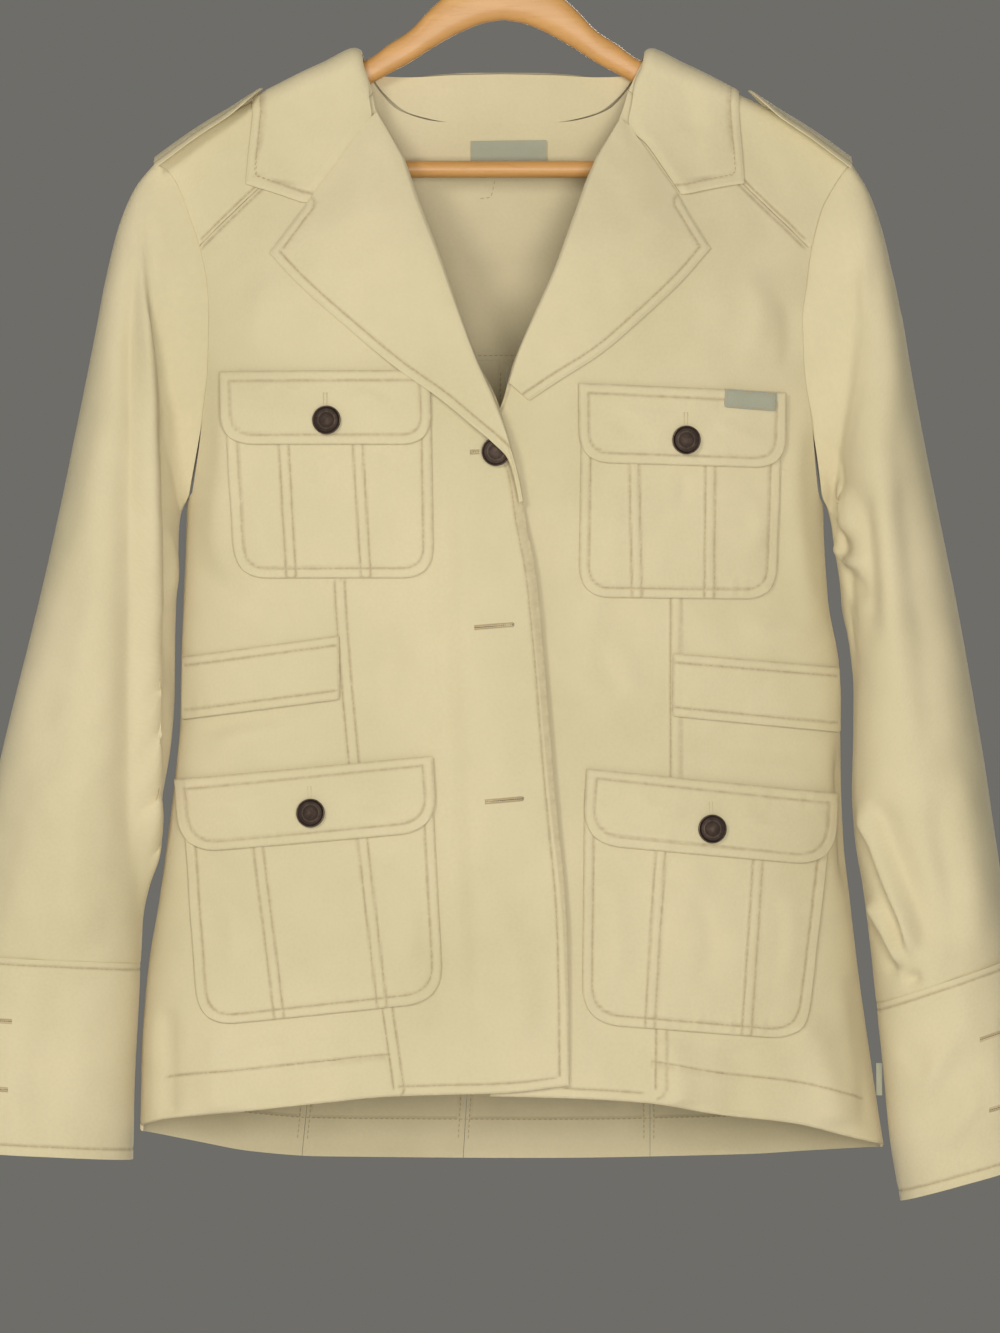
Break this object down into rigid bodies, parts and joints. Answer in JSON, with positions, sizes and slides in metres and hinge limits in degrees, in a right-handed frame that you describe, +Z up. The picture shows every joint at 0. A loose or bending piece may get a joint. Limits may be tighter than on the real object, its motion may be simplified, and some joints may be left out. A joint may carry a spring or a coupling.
{
  "type": "safari jacket on a hanger",
  "caption": "Cotton twill safari jacket with shoulder straps, lapels, flapped patch pockets and waist bands, hung flat on a wooden hanger with a trouser bar and a wire hook.",
  "frame": {"origin": "the point on the inner side of the hook's top that rests on the rail", "axes": "+Z up; -Y is the front of the jacket, towards the viewer; +X is the viewer's right"},
  "size_m": [0.6867, 0.107, 0.8418],
  "materials": {
    "khaki_twill": "matt cotton twill, washed and worn pale along its edges",
    "label_weave": "bare woven tape",
    "button_bronze": "antique dark bronze, rubbed brighter on its rings",
    "hanger_beech": "clear satin varnish",
    "hook_steel": "bright plated wire"
  },
  "bodies": {
    "root": {"front_left": "khaki_twill", "front_right": "khaki_twill", "yoke_front_left": "khaki_twill", "yoke_front_right": "khaki_twill", "lapel_left": "khaki_twill", "lapel_right": "khaki_twill", "sleeve_left_front": "khaki_twill", "sleeve_left_back": "khaki_twill", "sleeve_right_front": "khaki_twill", "sleeve_right_back": "khaki_twill", "cuff_left": "khaki_twill", "cuff_right": "khaki_twill", "epaulette_left": "khaki_twill", "epaulette_right": "khaki_twill", "yoke_back": "khaki_twill", "back_side_left": "khaki_twill", "back_middle_left": "khaki_twill", "back_middle_right": "khaki_twill", "back_side_right": "khaki_twill", "collar": "khaki_twill", "collar_stand": "khaki_twill", "pocket_chest_left": "khaki_twill", "pocket_chest_right": "khaki_twill", "pocket_low_left": "khaki_twill", "pocket_low_right": "khaki_twill", "flap_chest_left": "khaki_twill", "flap_chest_right": "khaki_twill", "flap_low_left": "khaki_twill", "flap_low_right": "khaki_twill", "waist_band_left": "khaki_twill", "waist_band_right": "khaki_twill", "label_chest": "label_weave", "label_neck": "label_weave", "label_side": "label_weave", "button_chest_left": "button_bronze", "button_chest_right": "button_bronze", "button_pocket_left": "button_bronze", "button_pocket_right": "button_bronze", "button_front_top": "button_bronze", "button_front_middle": "button_bronze", "button_front_low": "button_bronze", "button_cuff_left_upper": "button_bronze", "button_cuff_left_lower": "button_bronze", "button_cuff_right_upper": "button_bronze", "button_cuff_right_lower": "button_bronze", "hanger_wood": "hanger_beech", "hanger_bar": "hanger_beech", "hanger_hook": "hook_steel"}
  },
  "joints": []
}
